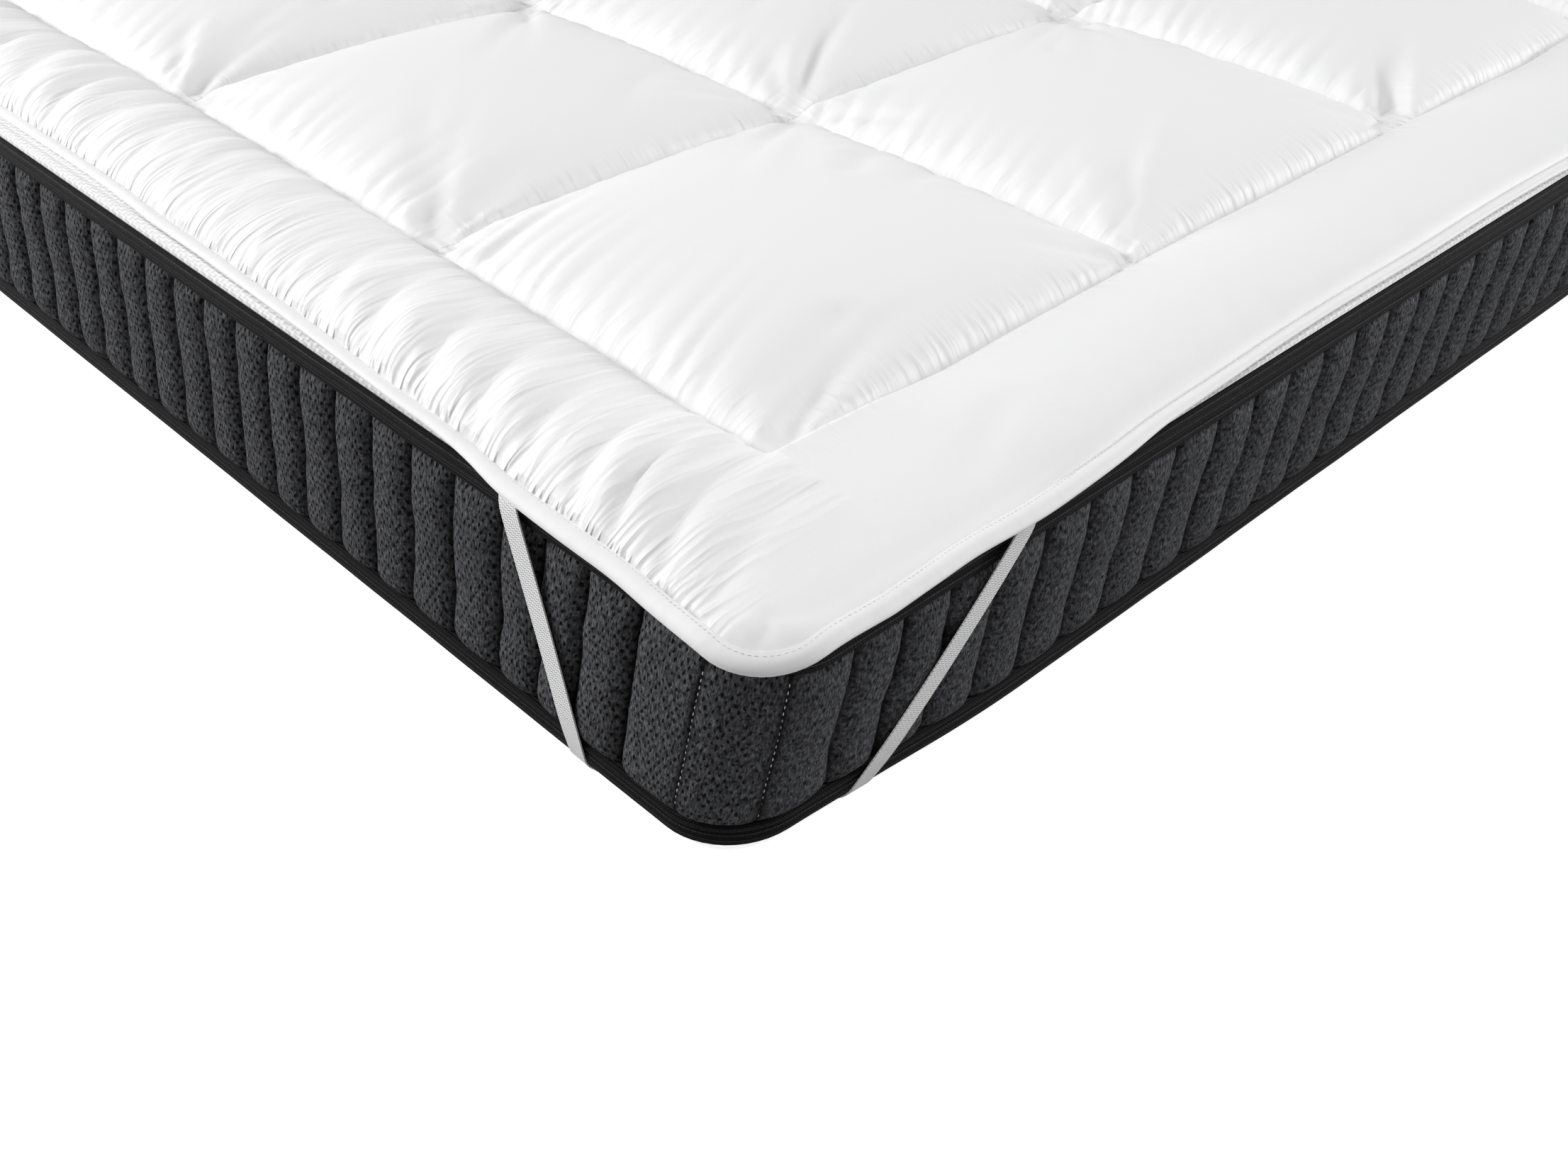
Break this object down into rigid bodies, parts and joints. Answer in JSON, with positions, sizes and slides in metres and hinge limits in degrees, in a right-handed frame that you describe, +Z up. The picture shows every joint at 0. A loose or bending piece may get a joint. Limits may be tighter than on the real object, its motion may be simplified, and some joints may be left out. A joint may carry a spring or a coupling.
{
  "type": "mattress topper on a mattress",
  "caption": "Quilted, filled topper with a bound edge, held by elastic corner straps on a ribbed-sided mattress with taped edges.",
  "frame": {"origin": "under the middle of the whole thing, on the surface that the mattress rests on", "axes": "+X across the bed, +Y along it, +Z up"},
  "size_m": [1.6267, 2.0255, 0.2403],
  "materials": {
    "quilt_cloth": "smooth white cotton with a soft sheen",
    "binding_cloth": "smooth white folded binding",
    "elastic": "flat white elastic with fine lengthwise ribs",
    "charcoal_knit": "dimpled charcoal knit, flecked",
    "white_knit": "matt white knit",
    "black_tape": "black woven edge tape"
  },
  "bodies": {
    "root": {"topper": "quilt_cloth", "topper_binding": "binding_cloth", "strap_front_left": "elastic", "strap_front_right": "elastic", "strap_back_left": "elastic", "strap_back_right": "elastic", "mattress_border": "charcoal_knit", "mattress_top_panel": "white_knit", "mattress_bottom_panel": "white_knit", "mattress_top_tape": "black_tape", "mattress_bottom_tape": "black_tape"}
  },
  "joints": []
}
